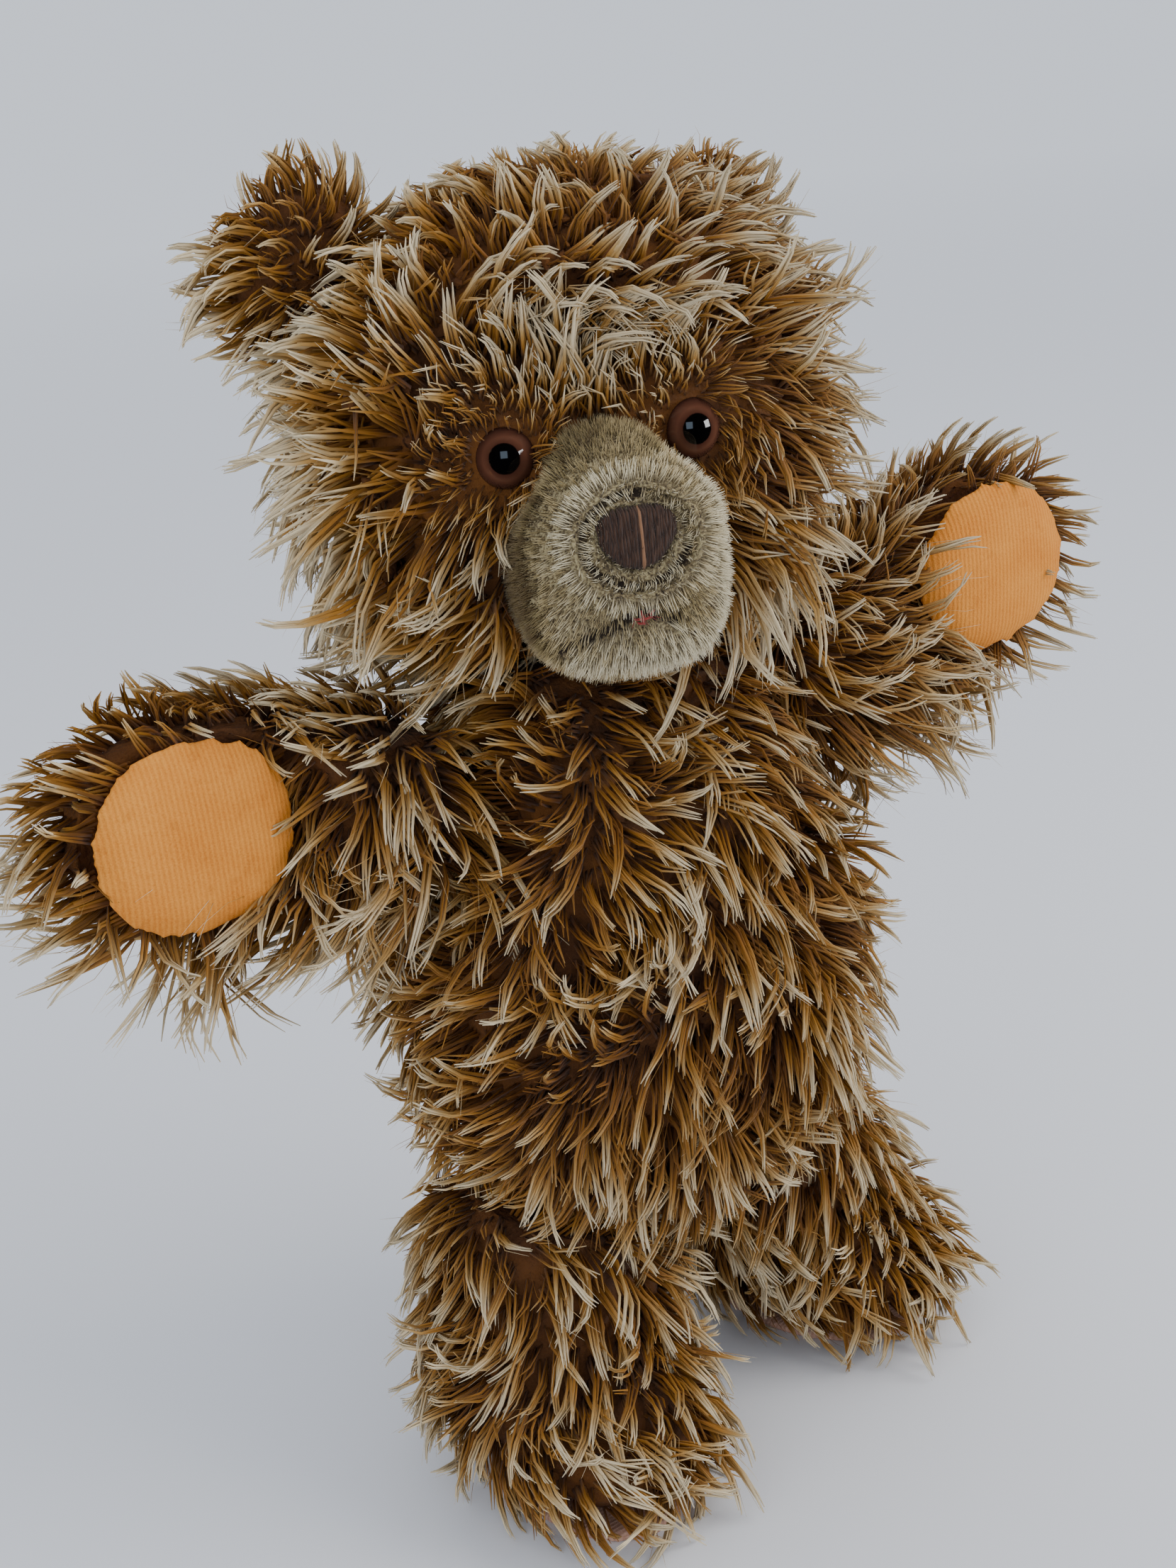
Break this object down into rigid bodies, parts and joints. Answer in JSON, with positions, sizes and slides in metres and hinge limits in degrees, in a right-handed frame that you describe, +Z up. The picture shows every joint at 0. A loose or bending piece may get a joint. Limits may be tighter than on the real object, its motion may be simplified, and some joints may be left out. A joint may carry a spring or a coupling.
{
  "type": "teddy bear",
  "caption": "Worn soft teddy bear of long tipped plush, standing with its arms held out, with an inset short-pile muzzle and velour paw and sole pads.",
  "frame": {"origin": "on the floor under the middle of the bear's bounding box", "axes": "+Z up through the head; the bear's front faces -Y and its own right side is at -X"},
  "size_m": [0.3038, 0.1398, 0.3472],
  "materials": {
    "long_plush": "long shaggy pile, dark brown at the root, caramel in the middle and pale beige at the tip",
    "short_plush": "short thin pile with the backing cloth showing through as dark specks",
    "velour": "matt apricot knitted velour with fine ribs",
    "dark_yarn": "worn upright satin stitches of dark brown yarn",
    "red_yarn": "frayed red yarn",
    "eye_plastic": "glossy red-brown iris with a round black pupil",
    "washer_plastic": "plain moulded lock washer"
  },
  "bodies": {
    "root": {"head": "long_plush", "muzzle": "short_plush", "nose_embroidery": "dark_yarn", "mouth_thread": "red_yarn", "ear_left": "long_plush", "ear_right": "long_plush", "eye_left": "eye_plastic", "eye_right": "eye_plastic", "eye_washer_left": "washer_plastic", "eye_washer_right": "washer_plastic", "torso": "long_plush", "arm_left": "long_plush", "arm_right": "long_plush", "paw_pad_left": "velour", "paw_pad_right": "velour", "leg_left": "long_plush", "leg_right": "long_plush", "sole_pad_left": "velour", "sole_pad_right": "velour"}
  },
  "joints": []
}
